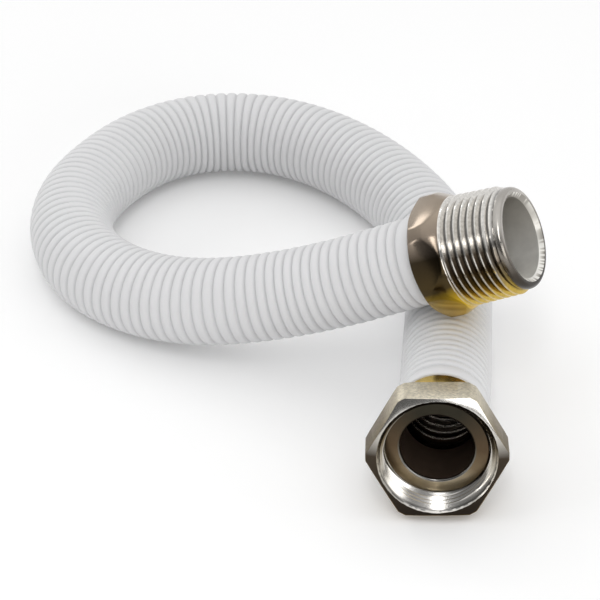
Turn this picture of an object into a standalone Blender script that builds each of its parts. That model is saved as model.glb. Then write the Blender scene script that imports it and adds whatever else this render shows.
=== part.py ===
"""Flexible stainless steel water hose with a swivel nut on one end and a threaded nipple on the other.

A corrugated steel tube runs through a ribbed plastic sleeve that lies in one loop. At one end the
tube is welded to a flanged tail piece, which traps a loose hexagon nut. At the other end it is
welded to a nipple with a hexagon and a pipe thread. All sizes below are millimetres.
"""
import math

import bmesh
import bpy
import numpy
from mathutils import Matrix, Vector

MM = 0.001                        # metres in a millimetre
GAP = 0.3                         # clearance kept between pieces that touch on the real hose
MERGE_DISTANCE = 0.000001         # metres

# Ribbed plastic sleeve
SLEEVE_WALL = 1.1                 # over the ribs
RIB_PITCH = 2.58
RIB_DEPTH = 0.62
GROOVE_WIDTH = 1.15
SLEEVE_NUT_CUFF = 3.7             # smooth length before the first rib
SLEEVE_NIPPLE_CUFF = 4.5
SLEEVE_SIDES = 10

# Corrugated steel tube, plain along its hidden middle
TUBE_RADIUS = 9.3                 # over the corrugations
TUBE_WALL = 0.35
CORRUGATION_PITCH = 3.2
CORRUGATION_DEPTH = 1.1
CORRUGATIONS_SHOWN = 3            # at each end, where the bore lets them be seen
TUBE_CUFF = 2.6                   # smooth length welded to a fitting
BEND_STEP = 8.0                   # spacing of the rings that let plain walls bend
STRAIGHT_START = 1.0              # length of sleeve that stays in line with the tail piece

# Threads, 3/4 inch pipe size
THREAD_PITCH = 1.814
THREAD_RADIUS = 13.22             # crest beside the nipple's hexagon, root of the nut
THREAD_DEPTH = 1.16

# Swivel nut: a hexagon with a round collar behind it
NUT_MOUTH_FLARE = 0.3             # how much wider the mouth is than the thread
NUT_MOUTH_LIP = 0.78              # metal between the mouth and each flat
NUT_CORNER_RISE = 1.7             # how far the turned-off corners stand out past the flats
NUT_HEX_LENGTH = 9.5
NUT_REAR_CHAMFER = 0.5
NUT_SEAT_DEPTH = 5.3              # from the front face to the middle of the flange's face
NUT_RELIEF_LENGTH = 0.65          # groove behind the last turn of thread
NUT_SEAT_BAND = 0.65              # plain band between that groove and the shoulder
NUT_BACK_WALL = 1.8
NUT_COLLAR_WALL = 1.2
NUT_END_PLAY = 1.0                # how far the nut can slide back before it meets the ferrule

# Flanged tail piece that the nut turns on
FLANGE_CLEARANCE = 0.4            # between the flange and the nut's thread
FLANGE_THICKNESS = 1.5
TAIL_EDGE_RADIUS = 0.5            # rounding of the bore's edge at the seat
NECK_WALL = 1.25
NECK_LENGTH = 11.5                # behind the flange

# Ferrule ring pressed over the neck and the start of the tube
FERRULE_WALL = 0.5
FERRULE_LENGTH = 6.8

# Threaded nipple
NIPPLE_THREAD_LENGTH = 15.6       # from the end face to the hexagon
NIPPLE_TAPER = 1.0 / 32.0         # how much the thread's radius falls over a length, towards the end
NIPPLE_NOSE_LENGTH = 2.1          # unthreaded nose
NIPPLE_NOSE_STEP = 0.45           # how far it stands above the first root
NIPPLE_NOSE_BEVEL = 1.0           # across the bevel
NIPPLE_NOSE_BEVEL_LENGTH = 1.4    # along the bevel
NIPPLE_WALL = 2.04                # from the bore to the first root
NIPPLE_MOUTH_CHAMFER = 1.0
NIPPLE_FLAT_RISE = 0.28           # how far the flats stand above the thread
NIPPLE_CORNER_RISE = 1.2          # how far the turned-off corners stand out past the flats
NIPPLE_HEX_LENGTH = 7.9
NIPPLE_CORNER_LENGTH = 3.6        # straight part of each corner edge
NIPPLE_REAR_CHAMFER = 0.9

TURNED_STEPS = 32                 # facets round a turned piece
BAR_MARGIN = 1.0                  # how far a hexagon cutter runs past each end of its piece

# Where the two fittings lie: the centre of the end face, then the way it points
NUT_FACE = Vector((36.3, -82.8, 16.1))
NUT_AZIMUTH = -92.0               # degrees from +X, counted towards +Y
NUT_ELEVATION = 11.5
NUT_ROLL = 1.6                    # turn of the hexagon about its axis
TAIL_AZIMUTH = -97.0              # the loose nut hangs askew on its tail piece
TAIL_ELEVATION = 4.0
NIPPLE_FACE = Vector((57.6, -35.4, 44.7))
NIPPLE_AZIMUTH = -20.2
NIPPLE_ELEVATION = 25.3
NIPPLE_ROLL = 10.5

# Centre line of the loop between the two fittings, read from the nut's end
ROUTE = (
    (39.9, -48.2, 12.6),
    (41.0, -32.7, 11.5),
    (42.0, -19.1, 10.9),
    (42.7, -4.0, 10.8),
    (41.9, 12.0, 10.8),
    (38.6, 27.2, 10.8),
    (31.7, 42.8, 10.9),
    (21.6, 57.2, 11.2),
    (8.9, 68.3, 11.5),
    (-5.7, 74.7, 11.5),
    (-21.7, 74.5, 11.3),
    (-36.1, 66.5, 11.0),
    (-46.1, 53.3, 10.8),
    (-52.1, 38.2, 10.8),
    (-52.6, 21.7, 10.8),
    (-46.9, 6.3, 10.8),
    (-36.6, -4.8, 11.3),
    (-23.9, -12.6, 12.9),
    (-9.6, -17.6, 16.0),
    (5.0, -20.2, 20.0),
    (19.1, -23.3, 25.7),
)
GUIDE_STEP = 2.0                  # spacing of the points on the smooth centre line


def facing(azimuth, elevation):
    """Unit vector at these angles, in degrees."""
    across = math.cos(math.radians(elevation))
    return Vector((
        across * math.cos(math.radians(azimuth)),
        across * math.sin(math.radians(azimuth)),
        math.sin(math.radians(elevation)),
    ))


NUT_AXIS = facing(NUT_AZIMUTH, NUT_ELEVATION)
TAIL_AXIS = facing(TAIL_AZIMUTH, TAIL_ELEVATION)
NIPPLE_AXIS = facing(NIPPLE_AZIMUTH, NIPPLE_ELEVATION)
SEAT = NUT_FACE - NUT_AXIS * NUT_SEAT_DEPTH
TILT = NUT_AXIS.angle(TAIL_AXIS)

# Sizes that follow from those above. Lengths on the tail piece run back from its seat.
SLEEVE_BORE_RADIUS = TUBE_RADIUS + GAP
SLEEVE_RADIUS = SLEEVE_BORE_RADIUS + SLEEVE_WALL
NECK_RADIUS = TUBE_RADIUS + GAP
TAIL_BORE_RADIUS = NECK_RADIUS - NECK_WALL
FERRULE_BORE_RADIUS = NECK_RADIUS + GAP
FERRULE_RADIUS = FERRULE_BORE_RADIUS + FERRULE_WALL
NUT_THREAD_CREST = THREAD_RADIUS - THREAD_DEPTH
FLANGE_RADIUS = NUT_THREAD_CREST - FLANGE_CLEARANCE
NUT_SHOULDER = (
    NUT_SEAT_DEPTH + FLANGE_THICKNESS * math.cos(TILT) + FLANGE_RADIUS * math.sin(TILT) + GAP
)
NUT_LENGTH = NUT_SHOULDER + NUT_BACK_WALL
NUT_BEHIND_SEAT = NUT_LENGTH - NUT_SEAT_DEPTH
NUT_OPENING_RADIUS = (NECK_RADIUS + NUT_BEHIND_SEAT * math.sin(TILT)) / math.cos(TILT) + GAP
NUT_MOUTH_RADIUS = THREAD_RADIUS + NUT_MOUTH_FLARE
NUT_ACROSS_FLATS = 2.0 * (NUT_MOUTH_RADIUS + NUT_MOUTH_LIP)
NUT_CORNER_RADIUS = NUT_ACROSS_FLATS / 2.0 + NUT_CORNER_RISE
NUT_COLLAR_RADIUS = NUT_THREAD_CREST + NUT_COLLAR_WALL
NECK_BACK = FLANGE_THICKNESS + NECK_LENGTH
FERRULE_FRONT = (
    (NUT_BEHIND_SEAT + FERRULE_RADIUS * math.sin(TILT)) / math.cos(TILT) + NUT_END_PLAY
)
FERRULE_BACK = FERRULE_FRONT + FERRULE_LENGTH
TUBE_START = NECK_BACK + GAP
SLEEVE_START = FERRULE_BACK + GAP
NIPPLE_LENGTH = NIPPLE_THREAD_LENGTH + NIPPLE_HEX_LENGTH
NIPPLE_FIRST_ROOT = (
    THREAD_RADIUS - THREAD_DEPTH - NIPPLE_TAPER * (NIPPLE_THREAD_LENGTH - NIPPLE_NOSE_LENGTH)
)
NIPPLE_NOSE_RADIUS = NIPPLE_FIRST_ROOT + NIPPLE_NOSE_STEP
NIPPLE_BORE_RADIUS = NIPPLE_FIRST_ROOT - NIPPLE_WALL
NIPPLE_ACROSS_FLATS = 2.0 * (THREAD_RADIUS + NIPPLE_FLAT_RISE)
NIPPLE_CORNER_RADIUS = NIPPLE_ACROSS_FLATS / 2.0 + NIPPLE_CORNER_RISE
HOSE_END = NIPPLE_LENGTH + GAP


def clear_scene():
    for item in list(bpy.data.objects):
        bpy.data.objects.remove(item, do_unlink=True)


def new_collection(name):
    collection = bpy.data.collections.new(name)
    bpy.context.scene.collection.children.link(collection)
    return collection


def principled(name, colour, roughness, metallic):
    material = bpy.data.materials.new(name)
    material.use_nodes = True
    shader = material.node_tree.nodes["Principled BSDF"]
    shader.inputs["Base Color"].default_value = (*colour, 1.0)
    shader.inputs["Roughness"].default_value = roughness
    shader.inputs["Metallic"].default_value = metallic
    return material


def fitting_frame(name, centre, axis, roll, collection):
    """Empty at the middle of a fitting's end face, with +Z pointing out along its axis."""
    empty = bpy.data.objects.new(name, None)
    side = Vector((0.0, 0.0, 1.0)).cross(axis).normalized()
    turn = Matrix((side, axis.cross(side), axis)).transposed().to_4x4()
    empty.matrix_world = (
        Matrix.Translation(centre * MM) @ turn @ Matrix.Rotation(math.radians(roll), 4, "Z")
    )
    collection.objects.link(empty)
    return empty


def turned(name, outline, steps, material, collection, parent=None):
    """Ring-shaped solid from a closed (radius, height) outline that runs down its outer side."""
    mesh = bpy.data.meshes.new(name)
    shape = bmesh.new()
    corners = [shape.verts.new((radius * MM, 0.0, height * MM)) for radius, height in outline]
    for index, corner in enumerate(corners):
        shape.edges.new((corner, corners[(index + 1) % len(corners)]))
    shape.to_mesh(mesh)
    shape.free()
    mesh.materials.append(material)
    item = bpy.data.objects.new(name, mesh)
    collection.objects.link(item)
    item.parent = parent
    screw = item.modifiers.new("turn", "SCREW")
    screw.axis = "Z"
    screw.steps = steps
    screw.render_steps = steps
    screw.use_smooth_shade = True
    screw.use_merge_vertices = True
    screw.merge_threshold = MERGE_DISTANCE
    return item


def cut_hexagon(item, across_flats, length, cutters):
    """Keep what lies inside a hexagonal bar on the piece's own axis."""
    mesh = bpy.data.meshes.new(item.name + "_hexagon")
    shape = bmesh.new()
    corner = across_flats / 2.0 / math.cos(math.pi / 6.0) * MM
    depth = (length + 2.0 * BAR_MARGIN) * MM
    middle = Matrix.Translation((0.0, 0.0, -length / 2.0 * MM))
    bmesh.ops.create_cone(
        shape, cap_ends=True, segments=6, radius1=corner, radius2=corner, depth=depth,
        matrix=middle @ Matrix.Rotation(math.pi / 2.0, 4, "Z"),
    )
    shape.to_mesh(mesh)
    shape.free()
    bar = bpy.data.objects.new(mesh.name, mesh)
    bar.hide_render = True
    bar.display_type = "WIRE"
    bar.parent = item.parent
    cutters.objects.link(bar)
    cut = item.modifiers.new("hexagon", "BOOLEAN")
    cut.operation = "INTERSECT"
    cut.solver = "EXACT"
    cut.object = bar


def thread(start, end, first, second, taper=0.0):
    """Outline of thread turns going down from start, each at the first radius, then the second.

    The taper is how much both radii grow over each length on the way down.
    """
    turns = int((start - end) / THREAD_PITCH)
    outline = []
    for turn in range(turns):
        top = start - turn * THREAD_PITCH
        outline.append((first, top))
        outline.append((second, top - THREAD_PITCH / 2.0))
    outline.append((first, start - turns * THREAD_PITCH))
    return [(radius + taper * (start - height), height) for radius, height in outline]


def smooth_route(points, first_way, last_way):
    """Evenly spaced points on the cubic spline through points, with the given end directions."""
    knots = numpy.array([tuple(point) for point in points])
    chords = numpy.linalg.norm(numpy.diff(knots, axis=0), axis=1)
    count = len(knots)
    system = numpy.zeros((count, count))
    right = numpy.zeros((count, 3))
    system[0, 0] = 1.0
    system[-1, -1] = 1.0
    right[0] = first_way
    right[-1] = last_way
    for index in range(1, count - 1):
        before = chords[index - 1]
        after = chords[index]
        system[index, index - 1] = 1.0 / before
        system[index, index] = 2.0 / before + 2.0 / after
        system[index, index + 1] = 1.0 / after
        right[index] = 3.0 * (knots[index] - knots[index - 1]) / before**2
        right[index] += 3.0 * (knots[index + 1] - knots[index]) / after**2
    ways = numpy.linalg.solve(system, right)
    dense = []
    for index, chord in enumerate(chords):
        for part in numpy.linspace(0.0, 1.0, 24, endpoint=False):
            dense.append(
                (1 + 2 * part) * (1 - part)**2 * knots[index]
                + part * (1 - part)**2 * chord * ways[index]
                + part**2 * (3 - 2 * part) * knots[index + 1]
                - part**2 * (1 - part) * chord * ways[index + 1]
            )
    dense.append(knots[-1])
    dense = numpy.array(dense)
    travelled = numpy.concatenate(
        ([0.0], numpy.cumsum(numpy.linalg.norm(numpy.diff(dense, axis=0), axis=1)))
    )
    pieces = round(travelled[-1] / GUIDE_STEP)
    wanted = numpy.linspace(0.0, travelled[-1], pieces + 1)
    even = [numpy.interp(wanted, travelled, dense[:, axis]) for axis in range(3)]
    return numpy.transpose(even)


def hose_line():
    """Centre line from the tube's welded end in the nut to the back of the nipple."""
    start = SEAT - TAIL_AXIS * TUBE_START
    bend = SEAT - TAIL_AXIS * (SLEEVE_START + STRAIGHT_START)
    end = NIPPLE_FACE - NIPPLE_AXIS * HOSE_END
    curved = smooth_route([bend, *ROUTE, end], -TAIL_AXIS, NIPPLE_AXIS)
    return numpy.vstack((tuple(start), curved))


def guide_curve(points, cutters):
    """Hidden curve to bend the tube and sleeve along, tilted so that a corner row lies lowest."""
    data = bpy.data.curves.new("centre_line", "CURVE")
    data.dimensions = "3D"
    data.twist_mode = "MINIMUM"
    spline = data.splines.new("POLY")
    spline.points.add(len(points) - 1)
    for target, point in zip(spline.points, points):
        target.co = (*(point * MM), 1.0)
        target.tilt = math.pi / SLEEVE_SIDES
    guide = bpy.data.objects.new("centre_line", data)
    guide.hide_render = True
    guide.display_type = "WIRE"
    cutters.objects.link(guide)
    return guide


def bend_along(item, guide):
    bend = item.modifiers.new("bend", "CURVE")
    bend.object = guide
    bend.deform_axis = "POS_Z"


def ring_heights(low, high):
    """Heights between two ends, close enough for a wall to bend smoothly."""
    count = math.ceil((high - low) / BEND_STEP)
    return [low + (high - low) * index / count for index in range(count + 1)]


def sleeve_outline(start, end):
    """Ribbed wall: long flat crests with narrow grooves between them, and a plain bore."""
    first = end - SLEEVE_NIPPLE_CUFF
    ribbed = first - start - SLEEVE_NUT_CUFF
    ribs = round((ribbed - GROOVE_WIDTH) / RIB_PITCH)
    pitch = (ribbed - GROOVE_WIDTH) / ribs
    outline = [(SLEEVE_RADIUS, end)]
    for groove in range(ribs + 1):
        top = first - groove * pitch
        outline.append((SLEEVE_RADIUS, top))
        outline.append((SLEEVE_RADIUS - RIB_DEPTH, top - GROOVE_WIDTH / 2.0))
        outline.append((SLEEVE_RADIUS, top - GROOVE_WIDTH))
    outline.append((SLEEVE_RADIUS, start))
    outline += [(SLEEVE_BORE_RADIUS, height) for height in ring_heights(start, end)]
    return outline


def corrugated(top, radius):
    """Outline of one stretch of corrugations going down from top, as crest and valley flats."""
    quarter = CORRUGATION_PITCH / 4.0
    outline = []
    for wave in range(CORRUGATIONS_SHOWN):
        crest = top - wave * CORRUGATION_PITCH
        outline.append((radius, crest))
        outline.append((radius - CORRUGATION_DEPTH, crest - quarter))
        outline.append((radius - CORRUGATION_DEPTH, crest - 2.0 * quarter))
        outline.append((radius, crest - 3.0 * quarter))
    return outline


def tube_side(end, radius):
    """One side of the tube's thin wall, from its far end down to zero."""
    shown = CORRUGATIONS_SHOWN * CORRUGATION_PITCH
    far = end - TUBE_CUFF
    near = TUBE_CUFF + shown
    middle = ring_heights(near, far - shown)
    return [
        (radius, end),
        *corrugated(far, radius),
        *[(radius, height) for height in reversed(middle)],
        *corrugated(near - CORRUGATION_PITCH / 4.0, radius),
        (radius, 0.0),
    ]


def make_hose(parts, cutters):
    line = hose_line()
    guide = guide_curve(line, cutters)
    length = float(numpy.sum(numpy.linalg.norm(numpy.diff(line, axis=0), axis=1)))
    plastic = principled("sleeve_plastic", (0.68, 0.69, 0.70), 0.55, 0.0)
    sleeve = turned(
        "sleeve", sleeve_outline(SLEEVE_START - TUBE_START, length), SLEEVE_SIDES, plastic, parts
    )
    bend_along(sleeve, guide)
    steel = principled("tube_steel", (0.45, 0.44, 0.42), 0.3, 1.0)
    outline = tube_side(length, TUBE_RADIUS)
    outline += reversed(tube_side(length, TUBE_RADIUS - TUBE_WALL))
    tube = turned("corrugated_tube", outline, SLEEVE_SIDES, steel, parts)
    bend_along(tube, guide)


def make_nut(parts, cutters):
    frame = fitting_frame("nut_end", NUT_FACE, NUT_AXIS, NUT_ROLL, parts)
    steel = principled("nut_steel", (0.47, 0.45, 0.42), 0.38, 1.0)
    entry = NUT_MOUTH_RADIUS - NUT_THREAD_CREST
    relief_end = -NUT_SHOULDER + NUT_SEAT_BAND
    turns = thread(-entry, relief_end + NUT_RELIEF_LENGTH, NUT_THREAD_CREST, THREAD_RADIUS)
    outline = [
        (NUT_MOUTH_RADIUS, 0.0),
        (NUT_CORNER_RADIUS, 0.0),
        (NUT_CORNER_RADIUS, -NUT_HEX_LENGTH + NUT_REAR_CHAMFER),
        (NUT_CORNER_RADIUS - 2.0 * NUT_REAR_CHAMFER, -NUT_HEX_LENGTH),
        (NUT_COLLAR_RADIUS, -NUT_HEX_LENGTH),
        (NUT_COLLAR_RADIUS, -NUT_LENGTH),
        (NUT_OPENING_RADIUS, -NUT_LENGTH),
        (NUT_OPENING_RADIUS, -NUT_SHOULDER),
        (NUT_THREAD_CREST, -NUT_SHOULDER),
        (NUT_THREAD_CREST, relief_end),
        (THREAD_RADIUS, relief_end + THREAD_DEPTH / 2.0),
        *reversed(turns),
    ]
    nut = turned("union_nut", outline, TURNED_STEPS, steel, parts, frame)
    cut_hexagon(nut, NUT_ACROSS_FLATS, NUT_LENGTH, cutters)


def make_tail(parts):
    frame = fitting_frame("tail_end", SEAT, TAIL_AXIS, 0.0, parts)
    tail_steel = principled("tail_steel", (0.42, 0.38, 0.31), 0.25, 1.0)
    edge = TAIL_EDGE_RADIUS
    rounding = [
        (TAIL_BORE_RADIUS + edge - edge * math.cos(angle), -edge + edge * math.sin(angle))
        for angle in (0.0, math.pi / 6.0, math.pi / 3.0, math.pi / 2.0)
    ]
    tail_outline = [
        (FLANGE_RADIUS, 0.0),
        (FLANGE_RADIUS, -FLANGE_THICKNESS),
        (NECK_RADIUS, -FLANGE_THICKNESS),
        (NECK_RADIUS, -NECK_BACK),
        (TAIL_BORE_RADIUS, -NECK_BACK),
        *rounding,
    ]
    turned("tail_piece", tail_outline, TURNED_STEPS, tail_steel, parts, frame)

    ferrule_steel = principled("ferrule_steel", (0.50, 0.42, 0.24), 0.3, 1.0)
    ferrule_outline = [
        (FERRULE_RADIUS, -FERRULE_FRONT),
        (FERRULE_RADIUS, -FERRULE_BACK),
        (FERRULE_BORE_RADIUS, -FERRULE_BACK),
        (FERRULE_BORE_RADIUS, -FERRULE_FRONT),
    ]
    turned("ferrule_ring", ferrule_outline, TURNED_STEPS, ferrule_steel, parts, frame)


def make_nipple(parts, cutters):
    frame = fitting_frame("nipple_end", NIPPLE_FACE, NIPPLE_AXIS, NIPPLE_ROLL, parts)
    steel = principled("nipple_steel", (0.48, 0.45, 0.38), 0.28, 1.0)
    turns = thread(
        -NIPPLE_NOSE_LENGTH, -NIPPLE_THREAD_LENGTH,
        NIPPLE_FIRST_ROOT, NIPPLE_FIRST_ROOT + THREAD_DEPTH, NIPPLE_TAPER,
    )
    corner_end = -NIPPLE_LENGTH + NIPPLE_REAR_CHAMFER
    outline = [
        (NIPPLE_BORE_RADIUS + NIPPLE_MOUTH_CHAMFER, 0.0),
        (NIPPLE_NOSE_RADIUS - NIPPLE_NOSE_BEVEL, 0.0),
        (NIPPLE_NOSE_RADIUS, -NIPPLE_NOSE_BEVEL_LENGTH),
        (NIPPLE_NOSE_RADIUS, -NIPPLE_NOSE_LENGTH + NIPPLE_NOSE_STEP),
        *turns,
        (THREAD_RADIUS, -NIPPLE_THREAD_LENGTH),
        (NIPPLE_CORNER_RADIUS, corner_end + NIPPLE_CORNER_LENGTH),
        (NIPPLE_CORNER_RADIUS, corner_end),
        (NIPPLE_ACROSS_FLATS / 2.0, -NIPPLE_LENGTH),
        (NIPPLE_BORE_RADIUS, -NIPPLE_LENGTH),
        (NIPPLE_BORE_RADIUS, -NIPPLE_MOUTH_CHAMFER),
    ]
    nipple = turned("threaded_nipple", outline, TURNED_STEPS, steel, parts, frame)
    cut_hexagon(nipple, NIPPLE_ACROSS_FLATS, NIPPLE_LENGTH, cutters)


clear_scene()
hose_parts = new_collection("flexible_hose")
guides = new_collection("cutters")
make_hose(hose_parts, guides)
make_nut(hose_parts, guides)
make_tail(hose_parts)
make_nipple(hose_parts, guides)
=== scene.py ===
"""Looks of a flexible steel hose: ribbed plastic sleeve, swivel nut and threaded nipple."""
import math

import bmesh
import bpy
import numpy as np
from mathutils import Matrix, Vector


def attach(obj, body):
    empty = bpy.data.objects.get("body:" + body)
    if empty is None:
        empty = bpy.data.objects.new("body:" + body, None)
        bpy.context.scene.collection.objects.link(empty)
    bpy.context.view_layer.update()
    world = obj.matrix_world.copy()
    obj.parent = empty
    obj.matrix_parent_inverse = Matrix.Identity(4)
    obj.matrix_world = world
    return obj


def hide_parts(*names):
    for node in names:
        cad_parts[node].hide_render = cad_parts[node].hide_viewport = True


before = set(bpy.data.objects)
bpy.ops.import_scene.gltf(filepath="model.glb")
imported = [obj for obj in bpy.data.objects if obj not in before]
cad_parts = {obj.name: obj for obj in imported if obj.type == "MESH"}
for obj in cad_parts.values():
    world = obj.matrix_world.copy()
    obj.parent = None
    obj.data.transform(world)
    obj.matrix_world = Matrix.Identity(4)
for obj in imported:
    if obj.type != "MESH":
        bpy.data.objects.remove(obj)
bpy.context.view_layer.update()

MM = 0.001
GAP = 0.3 * MM                       # clearance between pieces that touch on the real hose

# Sleeve and the steel tube in it; the waves in the tube are shown at each end only
SLEEVE_RADIUS = 10.7 * MM
SLEEVE_BORE_RADIUS = 9.6 * MM
RIB_PITCH = 2.58 * MM
RIB_DEPTH = 0.62 * MM
RIB_CROWN = 0.10 * MM
GROOVE_WIDTH = 1.15 * MM
SLEEVE_NUT_CUFF = 3.7 * MM
SLEEVE_NIPPLE_CUFF = 4.5 * MM
SLEEVE_EDGE = 0.25 * MM
STRAIGHT_START = 1.0 * MM
TUBE_RADIUS = 9.3 * MM
TUBE_WALL = 0.35 * MM
TUBE_CUFF = 2.6 * MM
CORRUGATION_PITCH = 3.2 * MM
CORRUGATION_DEPTH = 1.1 * MM
CORRUGATIONS_SHOWN = 6
CORRUGATION_FULLNESS = 0.7           # below 1 widens the inner crests of the waves
HOSE_SIDES = 56
TUBE_SIDES = 48
GROOVE_ROWS = (-1.0, -0.62, -0.3, 0.0, 0.3, 0.62, 1.0)    # across a groove, edge to edge

# 3/4 inch pipe thread
THREAD_PITCH = 1.814 * MM
THREAD_RADIUS = 13.22 * MM           # nipple's crest beside its hexagon, and the nut's root
THREAD_DEPTH = 1.16 * MM
THREAD_FLAT = 0.14                   # share of the form's height cut flat at root and at crest
THREAD_LEAD = 0.8                    # how fast the nipple's first turn rises to full height
ROWS_PER_TURN = 14

# Swivel nut, depths counted from its front face
NUT_ACROSS_FLATS = 28.6 * MM
NUT_CORNER_RADIUS = 16.0 * MM
NUT_HEX_LENGTH = 9.5 * MM
NUT_COLLAR_RADIUS = 13.26 * MM
NUT_MOUTH_RADIUS = 13.52 * MM
NUT_FACE_SLOPE = 0.2                 # how fast the turned front falls back towards the corners
NUT_REAR_CHAMFER = 0.5 * MM
NUT_SEAT_DEPTH = 5.3 * MM
NUT_RELIEF_LENGTH = 0.65 * MM
NUT_SEAT_BAND = 0.65 * MM
NUT_BACK_WALL = 1.8 * MM
NUT_BEVEL = 0.16 * MM

# Tail piece and ferrule ring, depths counted from the seat
FLANGE_CLEARANCE = 0.4 * MM
FLANGE_BACK = 1.5 * MM
NECK_RADIUS = 9.6 * MM
NECK_BACK = 13.0 * MM
TAIL_BORE_RADIUS = 8.35 * MM
TAIL_EDGE_RADIUS = 0.5 * MM
TAIL_BEVEL = 0.15 * MM
FERRULE_RADIUS = 10.4 * MM
FERRULE_BORE_RADIUS = 9.9 * MM
FERRULE_LENGTH = 6.8 * MM
FERRULE_BEVEL = 0.2 * MM
NUT_END_PLAY = 1.0 * MM

# Nipple, depths counted from its end face
NIPPLE_LENGTH = 23.5 * MM
NIPPLE_THREAD_LENGTH = 15.6 * MM
NIPPLE_TAPER = 1.0 / 32.0
NIPPLE_NOSE_LENGTH = 2.1 * MM
NIPPLE_NOSE_STEP = 0.45 * MM
NIPPLE_NOSE_BEVEL = 1.0 * MM
NIPPLE_NOSE_BEVEL_LENGTH = 1.4 * MM
NIPPLE_BORE_RADIUS = 9.6 * MM
NIPPLE_MOUTH_CHAMFER = 1.0 * MM
NIPPLE_ACROSS_FLATS = 27.0 * MM
NIPPLE_CORNER_RADIUS = 14.7 * MM
NIPPLE_CORNER_LENGTH = 3.6 * MM
NIPPLE_REAR_CHAMFER = 0.9 * MM
NIPPLE_BEVEL = 0.15 * MM

# Fineness of the fittings, and welding of rings that meet
SEAM = 0.05 * MM                     # ring in which an outer tint gives way to an inner one
FLAT_STEPS = 20
ROUNDING_STEPS = 9
RING_SIDES = 96
WELD_DISTANCE = 0.0002 * MM
SHORTEST_EDGE = 0.0001 * MM

# Where the two fittings lie, as in the frame
NUT_FACE = Vector((0.0363, -0.0828, 0.0161))
NUT_AZIMUTH = -92.0
NUT_ELEVATION = 11.5
NUT_ROLL = 1.6
TAIL_AZIMUTH = -97.0
TAIL_ELEVATION = 4.0
NIPPLE_FACE = Vector((0.0576, -0.0354, 0.0447))
NIPPLE_AZIMUTH = -20.2
NIPPLE_ELEVATION = 25.3
NIPPLE_ROLL = 10.5

# Centre line of the loop between the fittings, in metres, and points for each span of its spline
SPAN_STEPS = 40
ROUTE = (
    (0.0399, -0.0482, 0.0126),
    (0.0410, -0.0327, 0.0115),
    (0.0420, -0.0191, 0.0109),
    (0.0427, -0.0040, 0.0108),
    (0.0419, 0.0120, 0.0108),
    (0.0386, 0.0272, 0.0108),
    (0.0317, 0.0428, 0.0109),
    (0.0216, 0.0572, 0.0112),
    (0.0089, 0.0683, 0.0115),
    (-0.0057, 0.0747, 0.0115),
    (-0.0217, 0.0745, 0.0113),
    (-0.0361, 0.0665, 0.0110),
    (-0.0461, 0.0533, 0.0108),
    (-0.0521, 0.0382, 0.0108),
    (-0.0526, 0.0217, 0.0108),
    (-0.0469, 0.0063, 0.0108),
    (-0.0366, -0.0048, 0.0113),
    (-0.0239, -0.0126, 0.0129),
    (-0.0096, -0.0176, 0.0160),
    (0.0050, -0.0202, 0.0200),
    (0.0191, -0.0233, 0.0257),
)

# Camera fitted to the photograph
CAMERA_PLACE = (0.0059, -0.54329, 0.35071)
CAMERA_ELEVATION = 32.48
CAMERA_LENS = 154.0
SENSOR_WIDTH = 36.0


def facing(azimuth, elevation):
    across = math.cos(math.radians(elevation))
    return Vector((
        across * math.cos(math.radians(azimuth)),
        across * math.sin(math.radians(azimuth)),
        math.sin(math.radians(elevation)),
    ))


NUT_AXIS = facing(NUT_AZIMUTH, NUT_ELEVATION)
TAIL_AXIS = facing(TAIL_AZIMUTH, TAIL_ELEVATION)
NIPPLE_AXIS = facing(NIPPLE_AZIMUTH, NIPPLE_ELEVATION)
SEAT = NUT_FACE - NUT_AXIS * NUT_SEAT_DEPTH
TILT = NUT_AXIS.angle(TAIL_AXIS)

# Sizes that follow from those above, with room for the nut to hang askew on its tail piece
NUT_THREAD_CREST = THREAD_RADIUS - THREAD_DEPTH
FLANGE_RADIUS = NUT_THREAD_CREST - FLANGE_CLEARANCE
NUT_SHOULDER = NUT_SEAT_DEPTH + FLANGE_BACK * math.cos(TILT) + FLANGE_RADIUS * math.sin(TILT) + GAP
NUT_LENGTH = NUT_SHOULDER + NUT_BACK_WALL
BEHIND_SEAT = NUT_LENGTH - NUT_SEAT_DEPTH
NUT_OPENING_RADIUS = (NECK_RADIUS + BEHIND_SEAT * math.sin(TILT)) / math.cos(TILT) + GAP
FERRULE_FRONT = (
    (BEHIND_SEAT + FERRULE_RADIUS * math.sin(TILT)) / math.cos(TILT) + NUT_END_PLAY
)
FERRULE_BACK = FERRULE_FRONT + FERRULE_LENGTH
NIPPLE_FIRST_ROOT = (
    THREAD_RADIUS - THREAD_DEPTH - NIPPLE_TAPER * (NIPPLE_THREAD_LENGTH - NIPPLE_NOSE_LENGTH)
)
NIPPLE_NOSE_RADIUS = NIPPLE_FIRST_ROOT + NIPPLE_NOSE_STEP


# Camera

def make_camera():
    data = bpy.data.cameras.new("camera")
    data.lens = CAMERA_LENS
    data.sensor_width = SENSOR_WIDTH
    data.clip_start = 0.01
    data.clip_end = 20.0
    camera = bpy.data.objects.new("camera", data)
    camera.location = CAMERA_PLACE
    camera.rotation_euler = (math.radians(90.0 - CAMERA_ELEVATION), 0.0, 0.0)
    bpy.context.scene.collection.objects.link(camera)
    bpy.context.scene.camera = camera


make_camera()


# Centre line

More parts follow.
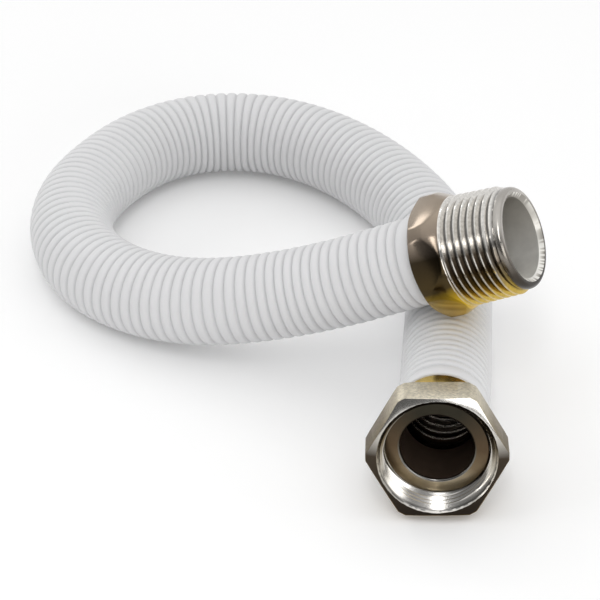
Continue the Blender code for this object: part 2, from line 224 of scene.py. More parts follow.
def smooth_route(points, first_way, last_way):
    """Closely spaced points on the cubic spline through points, with the given end directions."""
    knots = np.array([tuple(point) for point in points])
    chords = np.linalg.norm(np.diff(knots, axis=0), axis=1)
    count = len(knots)
    system = np.zeros((count, count))
    right = np.zeros((count, 3))
    system[0, 0] = 1.0
    system[-1, -1] = 1.0
    right[0] = first_way
    right[-1] = last_way
    for index in range(1, count - 1):
        before = chords[index - 1]
        after = chords[index]
        system[index, index - 1] = 1.0 / before
        system[index, index] = 2.0 / before + 2.0 / after
        system[index, index + 1] = 1.0 / after
        right[index] = 3.0 * (knots[index] - knots[index - 1]) / before**2
        right[index] += 3.0 * (knots[index + 1] - knots[index]) / after**2
    ways = np.linalg.solve(system, right)
    dense = []
    for index, chord in enumerate(chords):
        for part in np.linspace(0.0, 1.0, SPAN_STEPS, endpoint=False):
            dense.append(
                (1 + 2 * part) * (1 - part)**2 * knots[index]
                + part * (1 - part)**2 * chord * ways[index]
                + part**2 * (3 - 2 * part) * knots[index + 1]
                - part**2 * (1 - part) * chord * ways[index + 1]
            )
    dense.append(knots[-1])
    return np.array(dense)


class CentreLine:
    """The hose's centre line, with a cross-section frame that doesn't twist."""

    def __init__(self, points):
        self.points = points
        steps = np.linalg.norm(np.diff(points, axis=0), axis=1)
        self.travelled = np.concatenate(([0.0], np.cumsum(steps)))
        self.length = float(self.travelled[-1])
        ways = np.gradient(points, self.travelled, axis=0)
        self.ways = ways / np.linalg.norm(ways, axis=1)[:, None]
        sides = []
        side = np.array((1.0, 0.0, 0.0))
        for way in self.ways:
            side = side - way * (side @ way)
            side = side / np.linalg.norm(side)
            sides.append(side)
        self.sides = np.array(sides)

    def read(self, values, distances):
        return np.transpose([np.interp(distances, self.travelled, values[:, k]) for k in range(3)])

    def rings(self, distances, radii, count):
        """Rings of points round the line: distances and radii give each ring's place and size."""
        middles = self.read(self.points, distances)
        ways = self.read(self.ways, distances)
        ways /= np.linalg.norm(ways, axis=1)[:, None]
        sides = self.read(self.sides, distances)
        sides -= ways * np.sum(sides * ways, axis=1)[:, None]
        sides /= np.linalg.norm(sides, axis=1)[:, None]
        ups = np.cross(ways, sides)
        turns = np.linspace(0.0, 2.0 * math.pi, count, endpoint=False)
        spokes = (
            sides[:, None, :] * np.cos(turns)[None, :, None]
            + ups[:, None, :] * np.sin(turns)[None, :, None]
        )
        return middles[:, None, :] + spokes * np.asarray(radii)[:, None, None]


def hose_line():
    start = SEAT - TAIL_AXIS * (NECK_BACK + GAP)
    bend = SEAT - TAIL_AXIS * (FERRULE_BACK + GAP + STRAIGHT_START)
    end = NIPPLE_FACE - NIPPLE_AXIS * (NIPPLE_LENGTH + GAP)
    curved = smooth_route([bend, *ROUTE, end], -TAIL_AXIS, NIPPLE_AXIS)
    straight = np.linspace(tuple(start), tuple(bend), 8, endpoint=False)
    return CentreLine(np.vstack((straight, curved)))


LINE = hose_line()
SLEEVE_START = FERRULE_BACK - NECK_BACK    # along the line, which starts at the tube's end


# Meshes

def grid_mesh(name, rings):
    """Mesh from rings of equal point counts, each joined to the next, and the last to the first."""
    count, around = rings.shape[:2]
    low = np.arange(count)[:, None] * around
    high = (np.arange(count)[:, None] + 1) % count * around
    here = np.arange(around)[None, :]
    there = (here + 1) % around
    faces = np.stack((low + here, high + here, high + there, low + there), axis=-1).reshape(-1, 4)
    mesh = bpy.data.meshes.new(name)
    mesh.from_pydata(rings.reshape(-1, 3).tolist(), [], faces.tolist())
    mesh.validate()
    piece = bpy.data.objects.new(name, mesh)
    bpy.context.scene.collection.objects.link(piece)
    return piece


def finish_mesh(piece, sharp_degrees):
    """Weld what meets, turn faces outward and shade smooth up to the given angle."""
    mesh = piece.data
    shape = bmesh.new()
    shape.from_mesh(mesh)
    bmesh.ops.remove_doubles(shape, verts=shape.verts, dist=WELD_DISTANCE)
    bmesh.ops.dissolve_degenerate(shape, edges=shape.edges, dist=SHORTEST_EDGE)
    bmesh.ops.recalc_face_normals(shape, faces=shape.faces)
    shape.to_mesh(mesh)
    shape.free()
    mesh.shade_smooth()
    mesh.set_sharp_from_angle(angle=math.radians(sharp_degrees))


def point_values(piece, name, values):
    layer = piece.data.attributes.new(name, "FLOAT", "POINT")
    layer.data.foreach_set("value", np.asarray(values, np.float32))


def sleeve_rings():
    """Distances along the line, radii and groove depth (0 to 1) of the sleeve's outer rings."""
    start = SLEEVE_START
    end = LINE.length
    last = end - SLEEVE_NIPPLE_CUFF
    ribbed = last - start - SLEEVE_NUT_CUFF
    ribs = round((ribbed - GROOVE_WIDTH) / RIB_PITCH)
    pitch = (ribbed - GROOVE_WIDTH) / ribs
    half = GROOVE_WIDTH / 2.0
    distances = [start, start + SLEEVE_EDGE]
    radii = [SLEEVE_RADIUS - SLEEVE_EDGE, SLEEVE_RADIUS]
    depths = [0.0, 0.0]
    for groove in range(ribs + 1):
        middle = last - half - (ribs - groove) * pitch
        for offset in GROOVE_ROWS:
            depth = 0.5 + 0.5 * math.cos(math.pi * offset)
            distances.append(middle + offset * half)
            radii.append(SLEEVE_RADIUS - RIB_CROWN - (RIB_DEPTH - RIB_CROWN) * depth)
            depths.append(depth)
        if groove < ribs:
            distances.append(middle + pitch / 2.0)
            radii.append(SLEEVE_RADIUS)
            depths.append(0.0)
    distances += [end - SLEEVE_EDGE, end]
    radii += [SLEEVE_RADIUS, SLEEVE_RADIUS - SLEEVE_EDGE]
    depths += [0.0, 0.0]
    return distances, radii, depths


def make_sleeve():
    """Grooved outside and plain bore, with the attribute groove: 1 at the bottom of a groove."""
    distances, radii, depths = sleeve_rings()
    bore_rings = 90
    bore = list(np.linspace(LINE.length, SLEEVE_START, bore_rings))
    distances = distances + bore
    radii = radii + [SLEEVE_BORE_RADIUS] * bore_rings
    depths = depths + [0.0] * bore_rings
    piece = grid_mesh("ribbed_sleeve", LINE.rings(distances, radii, HOSE_SIDES))
    point_values(piece, "groove", np.repeat(depths, HOSE_SIDES))
    finish_mesh(piece, 50.0)
    return piece


def tube_rings():
    """Distances and radii of the tube's outside: waves near both ends, plain between them."""
    rings_per_wave = 10
    plain_rings = 70
    shown = CORRUGATIONS_SHOWN * CORRUGATION_PITCH
    wave = np.linspace(0.0, shown, CORRUGATIONS_SHOWN * rings_per_wave + 1)
    dip = 0.5 - 0.5 * np.cos(2.0 * math.pi * wave / CORRUGATION_PITCH)
    waved = TUBE_RADIUS - CORRUGATION_DEPTH * dip**CORRUGATION_FULLNESS
    near = TUBE_CUFF + wave
    far = LINE.length - TUBE_CUFF - wave[::-1]
    middle = np.linspace(near[-1], far[0], plain_rings)[1:-1]
    distances = np.concatenate(([0.0], near, middle, far, [LINE.length]))
    radii = np.concatenate((
        [TUBE_RADIUS], waved, np.full(len(middle), TUBE_RADIUS), waved[::-1], [TUBE_RADIUS]
    ))
    return distances, radii


def make_tube():
    """Thin waved wall. Its tint follows the waves as painted light: the attribute up is 1 on their
    inner crests, which get a painted highlight.
    """
    distances, radii = tube_rings()
    both = np.concatenate((distances, distances[::-1]))
    walls = np.concatenate((radii, radii[::-1] - TUBE_WALL))
    piece = grid_mesh("steel_tube", LINE.rings(both, walls, TUBE_SIDES))
    wave = np.clip((TUBE_RADIUS - radii) / CORRUGATION_DEPTH, 0.0, 1.0)
    crests = 2.0 * np.concatenate((wave, wave[::-1]))**3 - 1.0
    point_values(piece, "up", np.repeat(crests, TUBE_SIDES))
    finish_mesh(piece, 60.0)
    return piece


class Fitting:
    """A turned fitting's own frame: depth runs back from its end face along its axis."""

    def __init__(self, face, axis, roll, turns):
        side = Vector((0.0, 0.0, 1.0)).cross(axis).normalized()
        base = Matrix((side, axis.cross(side), axis)).transposed()
        self.base = np.array(base @ Matrix.Rotation(math.radians(roll), 3, "Z"))
        self.face = np.array(face)
        self.turns = np.asarray(turns)

    def ring(self, radius, depth):
        """One ring of points: radius and depth are single values or one for each turn angle."""
        radius = np.broadcast_to(radius, self.turns.shape)
        depth = np.broadcast_to(depth, self.turns.shape)
        local = np.stack((radius * np.cos(self.turns), radius * np.sin(self.turns), -depth))
        return (self.base @ local).T + self.face


def even_turns(count):
    return np.linspace(0.0, 2.0 * math.pi, count, endpoint=False)


def hexagon_turns(across_flats, corner_radius, flat_steps, corner_steps):
    """Angles that put a column on each end of every turned-off corner, corners at 0, 60 and on."""
    half = math.pi / 6.0 - math.acos(across_flats / 2.0 / corner_radius)
    turns = []
    for corner in range(6):
        middle = corner * math.pi / 3.0
        turns += list(np.linspace(middle - half, middle + half, corner_steps, endpoint=False))
        flat = np.linspace(middle + half, middle + math.pi / 3.0 - half, flat_steps, endpoint=False)
        turns += list(flat)
    return np.array(turns)


def hexagon_radius(turns, across_flats, corner_radius):
    """Distance to a hexagon's side at each angle, limited to the turned-off corners."""
    from_flat = np.mod(turns, math.pi / 3.0) - math.pi / 6.0
    return np.minimum(across_flats / 2.0 / np.cos(from_flat), corner_radius)


def thread_rings(fitting, start, end, radius_of):
    """Rings whose rows follow a right-hand helix between two plain rings.

    radius_of(depth, phase) gives the radius, with phase 0 at a root and 0.5 at a crest. Rows that
    would pass either end stop there, and are welded afterwards.
    """
    rows = math.ceil((end - start) / THREAD_PITCH * ROWS_PER_TURN) + ROWS_PER_TURN
    around = fitting.turns / (2.0 * math.pi)
    rings = []
    for row in range(rows + 1):
        depth = np.clip(start + (row / ROWS_PER_TURN - around) * THREAD_PITCH, start, end)
        phase = np.mod((depth - start) / THREAD_PITCH + around, 1.0)
        rings.append(fitting.ring(radius_of(depth, phase), depth))
    return rings


def stitched(name, fitting, parts):
    """One closed mesh from parts, each (rings, slot, helical, side), to be welded where they meet.

    A helical part's last column joins its first one a whole turn of rows further up. The side is
    1 for a surface that looks away from the axis and -1 for one that looks towards it, and the
    attribute up says how far each point's side faces up (1) or down (-1), for painted light.
    """
    around = len(fitting.turns)
    height = fitting.base[2, 0] * np.cos(fitting.turns) + fitting.base[2, 1] * np.sin(fitting.turns)
    points = []
    faces = []
    slots = []
    ups = []
    for rings, slot, helical, side in parts:
        base = len(points)
        points += [tuple(point) for ring in rings for point in ring]
        ups += [side * height] * len(rings)
        for row in range(len(rings) - 1):
            for column in range(around):
                after = (column + 1) % around
                shift = ROWS_PER_TURN if helical and after == 0 else 0
                low = max(row - shift, 0)
                high = max(row + 1 - shift, 0)
                corners = (
                    base + row * around + column,
                    base + (row + 1) * around + column,
                    base + high * around + after,
                    base + low * around + after,
                )
                faces.append(tuple(dict.fromkeys(corners)))
                slots.append(slot)
    mesh = bpy.data.meshes.new(name)
    mesh.from_pydata(points, [], faces)
    mesh.polygons.foreach_set("material_index", slots)
    piece = bpy.data.objects.new(name, mesh)
    bpy.context.scene.collection.objects.link(piece)
    point_values(piece, "up", np.concatenate(ups))
    return piece


def mark_ridges(piece, fitting, root_at, rise, start, end):
    """Attribute ridge: 0 at the thread's roots, 1 at its crests, and 0.5 off the thread."""
    points = np.empty(3 * len(piece.data.vertices), np.float32)
    piece.data.vertices.foreach_get("co", points)
    local = (points.reshape(-1, 3) - fitting.face) @ fitting.base
    depth = -local[:, 2]
    ridge = (np.hypot(local[:, 0], local[:, 1]) - root_at(depth)) / rise
    threaded = (depth > start) & (depth < end) & (ridge > -0.1) & (ridge < 1.1)
    point_values(piece, "ridge", np.where(threaded, np.clip(ridge, 0.0, 1.0), 0.5))


def thread_radius(phase, root, crest):
    """Thread form with narrow flats at root and crest."""
    rise = 1.0 - np.abs(2.0 * phase - 1.0)
    height = (rise - THREAD_FLAT) / (1.0 - 2.0 * THREAD_FLAT)
    return root + (crest - root) * np.clip(height, 0.0, 1.0)


def make_nut():
    """Socket threaded from a flared mouth to a relief groove, and a back wall with a round hole."""
    turns = hexagon_turns(NUT_ACROSS_FLATS, NUT_CORNER_RADIUS, FLAT_STEPS, corner_steps=4)
    nut = Fitting(NUT_FACE, NUT_AXIS, NUT_ROLL, turns)
    hexagon = hexagon_radius(turns, NUT_ACROSS_FLATS, NUT_CORNER_RADIUS)
    bevel = NUT_BEVEL
    fall = NUT_FACE_SLOPE * (hexagon - NUT_MOUTH_RADIUS)
    corner_back = NUT_CORNER_RADIUS - 2.0 * NUT_REAR_CHAMFER
    chamfer = np.clip((NUT_CORNER_RADIUS - hexagon) / 2.0, 0.0, NUT_REAR_CHAMFER)
    back_start = NUT_HEX_LENGTH - NUT_REAR_CHAMFER + chamfer
    band_start = NUT_SHOULDER - NUT_SEAT_BAND
    groove_end = band_start - THREAD_DEPTH / 2.0
    thread_end = band_start - NUT_RELIEF_LENGTH
    thread_start = NUT_MOUTH_RADIUS - THREAD_RADIUS

    def inside(depth, phase):
        thread = thread_radius(phase, THREAD_RADIUS, NUT_THREAD_CREST)
        cone = NUT_MOUTH_RADIUS - depth
        relief = THREAD_RADIUS - (thread_end - depth)
        return np.maximum(np.maximum(thread, cone), np.minimum(relief, THREAD_RADIUS))

    front = [
        nut.ring(NUT_MOUTH_RADIUS, 0.0),
        nut.ring(NUT_MOUTH_RADIUS + SEAM, 0.0),
        nut.ring(hexagon - bevel, fall),
    ]
    sides = [
        nut.ring(hexagon - bevel, fall),
        nut.ring(hexagon - 0.3 * bevel, fall + 0.3 * bevel),
        nut.ring(hexagon, fall + bevel),
        nut.ring(hexagon, np.minimum(back_start, NUT_HEX_LENGTH - bevel)),
        nut.ring(np.minimum(hexagon, corner_back) - 0.5 * bevel, NUT_HEX_LENGTH),
    ]
    collar = [
        nut.ring(np.minimum(hexagon, corner_back) - 0.5 * bevel, NUT_HEX_LENGTH),
        nut.ring(NUT_COLLAR_RADIUS, NUT_HEX_LENGTH),
        nut.ring(NUT_COLLAR_RADIUS, NUT_LENGTH - bevel),
        nut.ring(NUT_COLLAR_RADIUS - bevel, NUT_LENGTH),
        nut.ring(NUT_OPENING_RADIUS + bevel, NUT_LENGTH),
    ]
    back = [
        nut.ring(NUT_OPENING_RADIUS + bevel, NUT_LENGTH),
        nut.ring(NUT_OPENING_RADIUS, NUT_LENGTH - bevel),
        nut.ring(NUT_OPENING_RADIUS, NUT_SHOULDER),
        nut.ring(NUT_THREAD_CREST, NUT_SHOULDER),
        nut.ring(NUT_THREAD_CREST, band_start),
        nut.ring(THREAD_RADIUS, groove_end),
        nut.ring(THREAD_RADIUS, thread_end),
    ]
    thread = thread_rings(nut, thread_start, thread_end, inside)
    mouth = [
        nut.ring(THREAD_RADIUS, thread_start),
        nut.ring(NUT_MOUTH_RADIUS - SEAM, SEAM),
        nut.ring(NUT_MOUTH_RADIUS, 0.0),
    ]
    piece = stitched("swivel_nut", nut, [
        (front, 1, False, 1), (sides, 0, False, 1), (collar, 0, False, 1),
        (back, 2, False, -1), (thread, 2, True, -1), (mouth, 2, False, -1),
    ])
    mark_ridges(piece, nut, lambda depth: THREAD_RADIUS, -THREAD_DEPTH, thread_start, thread_end)
    finish_mesh(piece, 28.0)
    return piece


def make_nipple():
    """Rounded nose, tapered thread, and a hexagon whose corners a cone takes off in front."""
    turns = hexagon_turns(NIPPLE_ACROSS_FLATS, NIPPLE_CORNER_RADIUS, FLAT_STEPS, corner_steps=6)
    nipple = Fitting(NIPPLE_FACE, NIPPLE_AXIS, NIPPLE_ROLL, turns)
    hexagon = hexagon_radius(turns, NIPPLE_ACROSS_FLATS, NIPPLE_CORNER_RADIUS)
    flat = NIPPLE_ACROSS_FLATS / 2.0
    bevel = NIPPLE_BEVEL
    cone_end = NIPPLE_LENGTH - NIPPLE_REAR_CHAMFER - NIPPLE_CORNER_LENGTH
    slope = (cone_end - NIPPLE_THREAD_LENGTH) / (NIPPLE_CORNER_RADIUS - THREAD_RADIUS)
    meet = NIPPLE_THREAD_LENGTH + (hexagon - THREAD_RADIUS) * slope
    rise = (hexagon - flat) / (NIPPLE_CORNER_RADIUS - flat)
    back = NIPPLE_LENGTH - NIPPLE_REAR_CHAMFER * rise
    flat_front = NIPPLE_NOSE_RADIUS - NIPPLE_NOSE_BEVEL

    def root_at(depth):
        return NIPPLE_FIRST_ROOT + NIPPLE_TAPER * (depth - NIPPLE_NOSE_LENGTH)

    def outside(depth, phase):
        root = root_at(depth)
        thread = thread_radius(phase, root, root + THREAD_DEPTH)
        lead = root + (depth - NIPPLE_NOSE_LENGTH) * THREAD_LEAD
        run_out = THREAD_RADIUS - (NIPPLE_THREAD_LENGTH - depth)
        return np.maximum(np.minimum(thread, lead), run_out)

    rounding = [
        nipple.ring(
            flat_front + NIPPLE_NOSE_BEVEL * math.sin(angle),
            NIPPLE_NOSE_BEVEL_LENGTH * (1.0 - math.cos(angle)),
        )
        for angle in np.linspace(0.0, math.pi / 2.0, ROUNDING_STEPS)
    ]
    nose = [
        nipple.ring(NIPPLE_BORE_RADIUS + NIPPLE_MOUTH_CHAMFER, 0.0),
        nipple.ring(NIPPLE_BORE_RADIUS + NIPPLE_MOUTH_CHAMFER + SEAM, 0.0),
        *rounding,
        nipple.ring(NIPPLE_NOSE_RADIUS, NIPPLE_NOSE_LENGTH - NIPPLE_NOSE_STEP),
        nipple.ring(NIPPLE_FIRST_ROOT, NIPPLE_NOSE_LENGTH),
    ]
    thread = thread_rings(nipple, NIPPLE_NOSE_LENGTH, NIPPLE_THREAD_LENGTH, outside)
    body = [
        nipple.ring(THREAD_RADIUS, NIPPLE_THREAD_LENGTH),
        nipple.ring(hexagon - bevel / slope, meet - bevel),
        nipple.ring(hexagon, meet + bevel),
        nipple.ring(hexagon, back - bevel),
        nipple.ring(hexagon - 0.5 * bevel, back),
        nipple.ring(flat - 0.7 * bevel, NIPPLE_LENGTH),
        nipple.ring(NIPPLE_BORE_RADIUS, NIPPLE_LENGTH),
    ]
    bore = [
        nipple.ring(NIPPLE_BORE_RADIUS, NIPPLE_LENGTH),
        nipple.ring(NIPPLE_BORE_RADIUS, NIPPLE_LENGTH * 0.5),
        nipple.ring(NIPPLE_BORE_RADIUS, NIPPLE_MOUTH_CHAMFER),
        nipple.ring(NIPPLE_BORE_RADIUS + NIPPLE_MOUTH_CHAMFER, 0.0),
    ]
    piece = stitched("pipe_nipple", nipple, [
        (nose, 3, False, 1), (thread, 0, True, 1), (body, 2, False, 1), (bore, 1, False, -1),
    ])
    mark_ridges(piece, nipple, root_at, THREAD_DEPTH, NIPPLE_NOSE_LENGTH, NIPPLE_THREAD_LENGTH)
    finish_mesh(piece, 28.0)
    return piece


def make_tail():
    """Flange whose front is the seat, with a rounded rim round its hole, and the neck behind it."""
    tail = Fitting(SEAT, TAIL_AXIS, 0.0, even_turns(RING_SIDES))
    edge = TAIL_EDGE_RADIUS
    bevel = TAIL_BEVEL
    rounding = [
        tail.ring(
            TAIL_BORE_RADIUS + edge - edge * math.cos(angle), edge - edge * math.sin(angle)
        )
        for angle in np.linspace(0.0, math.pi / 2.0, ROUNDING_STEPS)
    ]
    outside = [
        rounding[-1],
        tail.ring(FLANGE_RADIUS - bevel, 0.0),
        tail.ring(FLANGE_RADIUS, bevel),
        tail.ring(FLANGE_RADIUS, FLANGE_BACK),
        tail.ring(NECK_RADIUS, FLANGE_BACK),
        tail.ring(NECK_RADIUS, NECK_BACK),
    ]
    bore = [
        tail.ring(NECK_RADIUS, NECK_BACK),
        tail.ring(TAIL_BORE_RADIUS, NECK_BACK),
        rounding[0],
    ]
    piece = stitched("flanged_tail", tail, [
        (rounding, 2, False, -1), (outside, 0, False, -1), (bore, 1, False, -1),
    ])
    finish_mesh(piece, 35.0)
    return piece


def make_ferrule():
    ferrule = Fitting(SEAT, TAIL_AXIS, 0.0, even_turns(RING_SIDES))
    bevel = FERRULE_BEVEL
    rings = [
        ferrule.ring(FERRULE_BORE_RADIUS, FERRULE_FRONT),
        ferrule.ring(FERRULE_RADIUS - bevel, FERRULE_FRONT),
        ferrule.ring(FERRULE_RADIUS - 0.3 * bevel, FERRULE_FRONT + 0.3 * bevel),
        ferrule.ring(FERRULE_RADIUS, FERRULE_FRONT + bevel),
        ferrule.ring(FERRULE_RADIUS, FERRULE_BACK - bevel),
        ferrule.ring(FERRULE_RADIUS - bevel, FERRULE_BACK),
        ferrule.ring(FERRULE_BORE_RADIUS, FERRULE_BACK),
        ferrule.ring(FERRULE_BORE_RADIUS, FERRULE_FRONT),
    ]
    piece = stitched("ferrule", ferrule, [(rings, 0, False, 1)])
    finish_mesh(piece, 35.0)
    return piece


# Materials

def linear(hex_colour):
    """Linear RGBA from an sRGB hex colour such as #C0C0C0."""
    values = [int(hex_colour[place:place + 2], 16) / 255.0 for place in (1, 3, 5)]
    bent = [v / 12.92 if v <= 0.04045 else ((v + 0.055) / 1.055)**2.4 for v in values]
    return (*bent, 1.0)


def add(tree, kind, inputs=None, **settings):
    """Add a node, set its properties, and set or link its inputs."""
    node = tree.nodes.new(kind)
    for name, value in settings.items():
        setattr(node, name, value)
    for socket, value in (inputs or {}).items():
        if isinstance(value, bpy.types.NodeSocket):
            tree.links.new(value, node.inputs[socket])
        else:
            node.inputs[socket].default_value = value
    return node


def new_material(name, **sockets):
    material = bpy.data.materials.new(name)
    material.use_nodes = True
    tree = material.node_tree
    shader = tree.nodes["Principled BSDF"]
    for socket, value in sockets.items():
        shader.inputs[socket.replace("_", " ")].default_value = value
    return material, tree, shader


def moulded_pvc():
    """Soft PVC, extruded and heat-formed: pale grey, satin, a little darker down in the grooves."""
    material, tree, shader = new_material("moulded_pale_grey_pvc", Roughness=0.5, IOR=1.53)
    place = add(tree, "ShaderNodeTexCoord")
    cloud = add(tree, "ShaderNodeTexNoise", {
        "Vector": place.outputs["Object"], "Scale": 55.0, "Detail": 3.0,
    })
    groove = add(tree, "ShaderNodeAttribute", attribute_name="groove")
    tone = add(tree, "ShaderNodeMix", {
        "Factor": cloud.outputs["Fac"], "A": linear("#DCDCDD"), "B": linear("#E1E1E2"),
    }, data_type="RGBA")
    shade = add(tree, "ShaderNodeMath", {0: groove.outputs["Fac"], 1: 0.3}, operation="MULTIPLY")
    colour = add(tree, "ShaderNodeMix", {
        "Factor": shade.outputs[0], "A": tone.outputs["Result"], "B": linear("#A2A2A4"),
    }, data_type="RGBA")
    tree.links.new(colour.outputs["Result"], shader.inputs["Base Color"])
    grain = add(tree, "ShaderNodeTexNoise", {
        "Vector": place.outputs["Object"], "Scale": 2500.0, "Detail": 2.0,
    })
    bump = add(tree, "ShaderNodeBump", {
        "Height": grain.outputs["Fac"], "Strength": 0.06, "Distance": 0.0001,
    })
    tree.links.new(bump.outputs["Normal"], shader.inputs["Normal"])
    return material


def painted_thread_light(tree, colour, crest, height):
    """Painted shade in a thread's roots and a painted highlight on its crests, brightest on the
    upper side.
    """
    ridge = add(tree, "ShaderNodeAttribute", attribute_name="ridge")
    # painted shade: the colour falls to 0.3 of itself down in the roots
    root_shade = add(tree, "ShaderNodeMapRange", {
        "Value": ridge.outputs["Fac"], "From Min": 0.0, "From Max": 0.4, "To Min": 0.3,
        "To Max": 1.0,
    })
    # painted highlight: crests mix towards the crest colour, most where they face up
    crest_highlight = add(tree, "ShaderNodeMapRange", {
        "Value": ridge.outputs["Fac"], "From Min": 0.8, "From Max": 1.0, "To Min": 0.0,
        "To Max": 0.7,
    })
    upper = add(tree, "ShaderNodeMapRange", {
        "Value": height, "From Min": 0.2, "From Max": 0.45, "To Min": 0.35, "To Max": 1.0,
    })
    lit_crest_highlight = add(tree, "ShaderNodeMath", {
        0: crest_highlight.outputs["Result"], 1: upper.outputs["Result"],
    }, operation="MULTIPLY")
    root_shaded = add(tree, "ShaderNodeVectorMath", {
        0: colour, "Scale": root_shade.outputs["Result"],
    }, operation="SCALE")
    mixed = add(tree, "ShaderNodeMix", {
        "Factor": lit_crest_highlight.outputs[0], "A": root_shaded.outputs["Vector"], "B": linear(crest),
    }, data_type="RGBA")
    return mixed.outputs["Result"]


def stainless(
    name, painted_light_stops, variation, roughness, grain_scale=1500.0, grain_strength=0.05, metallic=1.0,
    crest=None, cloud_scale=260.0,
):
    """Steel with painted light and shade: its tint runs with how far each point faces, from its
    underside to its top, with fine cloudy variation and grain.

    Each stop holds a value of the attribute up, from -1 to 1, and the colour painted there. The
    cloudy variation takes off up to the given share of the tint. The crest colour, a painted
    highlight, is for threads only.
    """
    material, tree, shader = new_material(name, Roughness=roughness, Metallic=metallic)
    up = add(tree, "ShaderNodeAttribute", attribute_name="up")
    height = add(tree, "ShaderNodeMapRange", {
        "Value": up.outputs["Fac"], "From Min": -1.0, "From Max": 1.0,
    })
    # painted light and shade: the ramp colours each point by how far it faces up
    ramp = add(tree, "ShaderNodeValToRGB", {"Fac": height.outputs["Result"]})
    elements = ramp.color_ramp.elements
    while len(elements) < len(painted_light_stops):
        elements.new(0.5)
    for element, (level, hex_colour) in zip(elements, painted_light_stops):
        element.position = 0.5 + 0.5 * level
        element.color = linear(hex_colour)
    place = add(tree, "ShaderNodeTexCoord")
    cloud = add(tree, "ShaderNodeTexNoise", {
        "Vector": place.outputs["Object"], "Scale": cloud_scale, "Detail": 4.0,
        "Roughness": 0.6,
    })
    amount = add(tree, "ShaderNodeMapRange", {
        "Value": cloud.outputs["Fac"], "From Min": 0.35, "From Max": 0.65,
        "To Min": 1.0 - variation, "To Max": 1.0,
    })
    painted_light_tint = ramp.outputs["Color"]
    if crest:
        painted_light_tint = painted_thread_light(tree, painted_light_tint, crest, height.outputs["Result"])
    colour = add(tree, "ShaderNodeVectorMath", {
        0: painted_light_tint, "Scale": amount.outputs["Result"],
    }, operation="SCALE")
    tree.links.new(colour.outputs["Vector"], shader.inputs["Base Color"])
    grain = add(tree, "ShaderNodeTexNoise", {
        "Vector": place.outputs["Object"], "Scale": grain_scale, "Detail": 3.0,
    })
    bump = add(tree, "ShaderNodeBump", {
        "Height": grain.outputs["Fac"], "Strength": grain_strength, "Distance": 0.0001,
    })
    tree.links.new(bump.outputs["Normal"], shader.inputs["Normal"])
    return material


def dress(piece, body, slot, materials, *nodes):
    for material in materials:
        piece.data.materials.append(material)
    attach(piece, body)
    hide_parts(*nodes)


# Turned and polished, with painted light: silvery on top, brown on the side, and a painted straw
# yellow reflection underneath
turned_steel = stainless(
    "turned_stainless_steel",
    (
        (-0.9, "#D0B048"), (-0.55, "#C4A648"), (-0.25, "#8E7C54"), (0.05, "#766B5E"),
        (0.28, "#8A8277"), (0.42, "#EAE6E0"), (0.85, "#F2EFEA"),
    ),
    variation=0.2, roughness=0.16, crest="#F4F1EB", cloud_scale=1300.0,
)
# Plain nose in front of the thread, duller, with painted light: lighter on top, painted shade
# darker underneath
nose_steel = stainless(
    "nose_stainless_steel",
    (
        (-0.9, "#2E2A26"), (-0.3, "#4E4841"), (0.2, "#8C867E"), (0.6, "#C4C0BA"),
        (0.9, "#B8B4AE"),
    ),
    variation=0.08, roughness=0.24,
)
# Milled hexagon behind it, with painted light: pinkish grey on top, dark on the side, and a painted
# straw yellow reflection underneath
milled_steel = stainless(
    "milled_stainless_steel",
    (
        (-0.8, "#D2AC22"), (-0.45, "#C4A026"), (-0.15, "#463A24"), (0.35, "#342C20"),
        (0.6, "#82766A"), (0.85, "#A89A8A"),
    ),
    variation=0.08, roughness=0.18,
)
# The nut's faced front, which mirrors softly, with a painted reflection: bright above, dark brown
# below
faced_steel = stainless(
    "faced_stainless_steel",
    ((-0.9, "#2E2822"), (0.0, "#423A31"), (0.35, "#C4C0B8"), (0.9, "#E2DFDA")),
    variation=0.05, roughness=0.16,
)
# Cut thread inside the nut and the rim of the tail piece's hole, with painted light: bright where
# they look up
threaded_steel = stainless(
    "threaded_stainless_steel",
    ((-0.9, "#4A4036"), (-0.2, "#7C6F58"), (0.3, "#C2BCB0"), (0.9, "#DAD7D2")),
    variation=0.08, roughness=0.18, crest="#E6E3DC",
)
# Machined seat and flange, with a painted reflection: near black above, warm brown grey below
seat_steel = stainless(
    "machined_seat_steel",
    ((-0.9, "#343129"), (0.0, "#5C4C3A"), (0.5, "#7E6E56"), (0.9, "#B4A68C")),
    variation=0.1, roughness=0.28,
)
# Fine blasting scatters light, so the nut's flats look matt and speckled; painted light makes them
# lighter on top, with a painted straw brown reflection below
blasted_steel = stainless(
    "blasted_stainless_steel",
    ((-0.8, "#8A7448"), (0.0, "#766C5B"), (0.5, "#978B75"), (0.95, "#F4ECD8")),
    variation=0.32, roughness=0.5, grain_scale=2200.0, grain_strength=0.6, cloud_scale=1500.0,
)
# The dull bore scatters light, so the nipple shows grey inside, with painted shade darker under its
# roof
bored_steel = stainless(
    "satin_bored_stainless_steel",
    ((-0.8, "#7E7971"), (0.0, "#CFCBC3"), (0.7, "#FAF8F2")),
    variation=0.1, roughness=0.28, grain_strength=0.08, metallic=0.5,
)
# Painted shade: the tail piece's bore is coloured dark brown inside
dark_bore_steel = stainless(
    "dark_painted_bore_steel",
    ((-0.8, "#5A483A"), (0.8, "#5E4E42")),
    variation=0.2, roughness=0.3, metallic=0.6,
)
# Thin formed wall of the tube: dull and dark outside, with a painted highlight on the waves' inner
# crests in the hole and painted shade between them
formed_steel = stainless(
    "formed_stainless_steel",
    ((-0.9, "#3A342E"), (-0.3, "#6E6860"), (0.3, "#FAF8F4")),
    variation=0.05, roughness=0.12, grain_strength=0.02,
)
# The ferrule is straw yellow, with painted light making it lighter towards the top
straw_steel = stainless(
    "straw_yellow_stainless_steel",
    ((-0.8, "#8C7233"), (0.3, "#A98B42"), (0.9, "#C9AE62")),
    variation=0.1, roughness=0.22,
)

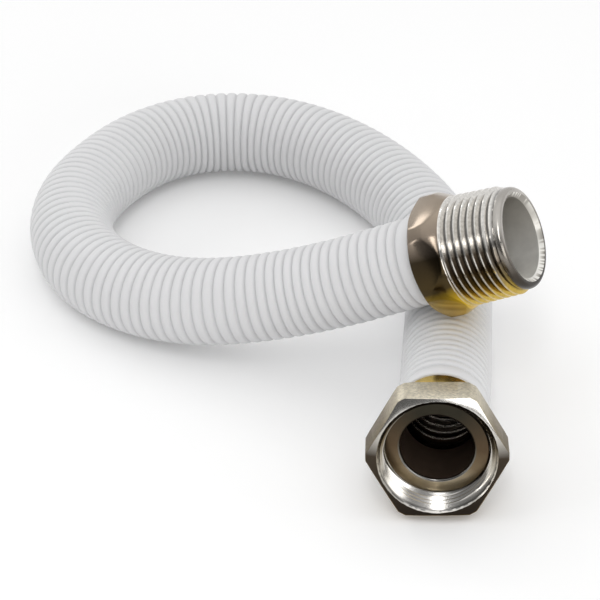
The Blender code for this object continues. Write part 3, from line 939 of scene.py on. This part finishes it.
sleeve = make_sleeve()
tube = make_tube()
nut = make_nut()
tail = make_tail()
ferrule = make_ferrule()
nipple = make_nipple()
dress(sleeve, "hose", "sleeve_plastic", [moulded_pvc()], "sleeve")
dress(tube, "hose", "tube_steel", [formed_steel], "corrugated_tube")
dress(nut, "nut", "nut_steel", [blasted_steel, faced_steel, threaded_steel], "union_nut")
dress(tail, "hose", "tail_steel", [seat_steel, dark_bore_steel, threaded_steel], "tail_piece")
dress(ferrule, "hose", "ferrule_steel", [straw_steel], "ferrule_ring")
dress(nipple, "hose", "nipple_steel", [turned_steel, bored_steel, milled_steel, nose_steel],
      "threaded_nipple")
path = LINE.read(LINE.points, np.linspace(SLEEVE_START, LINE.length, 400))


# Floor, backdrop and light

def make_stage():
    """White paper: its own faint glow for what sees it directly keeps it white round the shadow."""
    glow_strength = 0.12
    reach = 6.0
    mesh = bpy.data.meshes.new("floor")
    mesh.from_pydata(
        [(-reach, -reach, 0.0), (reach, -reach, 0.0), (reach, reach, 0.0), (-reach, reach, 0.0)],
        [], [(0, 1, 2, 3)],
    )
    floor = bpy.data.objects.new("floor", mesh)
    bpy.context.scene.collection.objects.link(floor)
    material, tree, shader = new_material("white_paper_floor", Roughness=0.9)
    shader.inputs["Base Color"].default_value = linear("#F4F4F4")
    shader.inputs["Emission Color"].default_value = (1.0, 1.0, 1.0, 1.0)
    rays = add(tree, "ShaderNodeLightPath")
    mirrored = add(tree, "ShaderNodeMath", {
        0: rays.outputs["Is Glossy Ray"], 1: rays.outputs["Is Transmission Ray"],
    }, operation="MAXIMUM")
    seen = add(tree, "ShaderNodeMath", {
        0: rays.outputs["Is Camera Ray"], 1: mirrored.outputs[0],
    }, operation="MAXIMUM")
    glow = add(tree, "ShaderNodeMath", {
        0: seen.outputs[0], 1: glow_strength,
    }, operation="MULTIPLY")
    tree.links.new(glow.outputs[0], shader.inputs["Emission Strength"])
    mesh.materials.append(material)


def make_world():
    """Plain room: bright overhead, behind and to the sides, and dim in front."""
    world = bpy.data.worlds.new("studio")
    world.use_nodes = True
    tree = world.node_tree
    place = add(tree, "ShaderNodeTexCoord")
    way = add(tree, "ShaderNodeSeparateXYZ", {0: place.outputs["Generated"]})
    wall = add(tree, "ShaderNodeMapRange", {
        "Value": way.outputs["Y"], "From Min": -0.75, "From Max": -0.1,
        "To Min": 0.12, "To Max": 0.8,
    })
    up = add(tree, "ShaderNodeMapRange", {
        "Value": way.outputs["Z"], "From Min": 0.6, "From Max": 0.9,
    })
    dome = add(tree, "ShaderNodeMix", {
        "Factor": up.outputs["Result"], "A": wall.outputs["Result"], "B": 1.0,
    }, data_type="FLOAT")
    background = tree.nodes["Background"]
    background.inputs["Color"].default_value = (1.0, 1.0, 1.0, 1.0)
    tree.links.new(dome.outputs["Result"], background.inputs["Strength"])
    bpy.context.scene.world = world


def make_lamp(name, place, target, size, power):
    """Soft rectangular lamp that faces the target."""
    data = bpy.data.lights.new(name, "AREA")
    data.shape = "RECTANGLE"
    data.size = size[0]
    data.size_y = size[1]
    data.energy = power
    lamp = bpy.data.objects.new(name, data)
    lamp.location = place
    way = Vector(target) - Vector(place)
    lamp.rotation_mode = "QUATERNION"
    lamp.rotation_quaternion = way.to_track_quat("-Z", "Y")
    bpy.context.scene.collection.objects.link(lamp)


make_stage()
make_world()
make_lamp("key_softbox", (-0.03, -0.62, 0.78), (0.0, 0.0, 0.0), (0.16, 0.5), 1.5)
make_lamp("right_softbox", (0.5, -1.05, 0.36), (0.0, 0.0, 0.02), (0.9, 0.5), 3.6)
make_lamp("left_softbox", (-1.05, -0.4, 0.25), (0.0, 0.0, 0.02), (0.12, 0.6), 0.8)
make_lamp("back_softbox", (-0.7, 0.8, 0.55), (0.0, 0.0, 0.02), (0.5, 0.3), 1.2)
bpy.context.scene.view_settings.view_transform = "Standard"
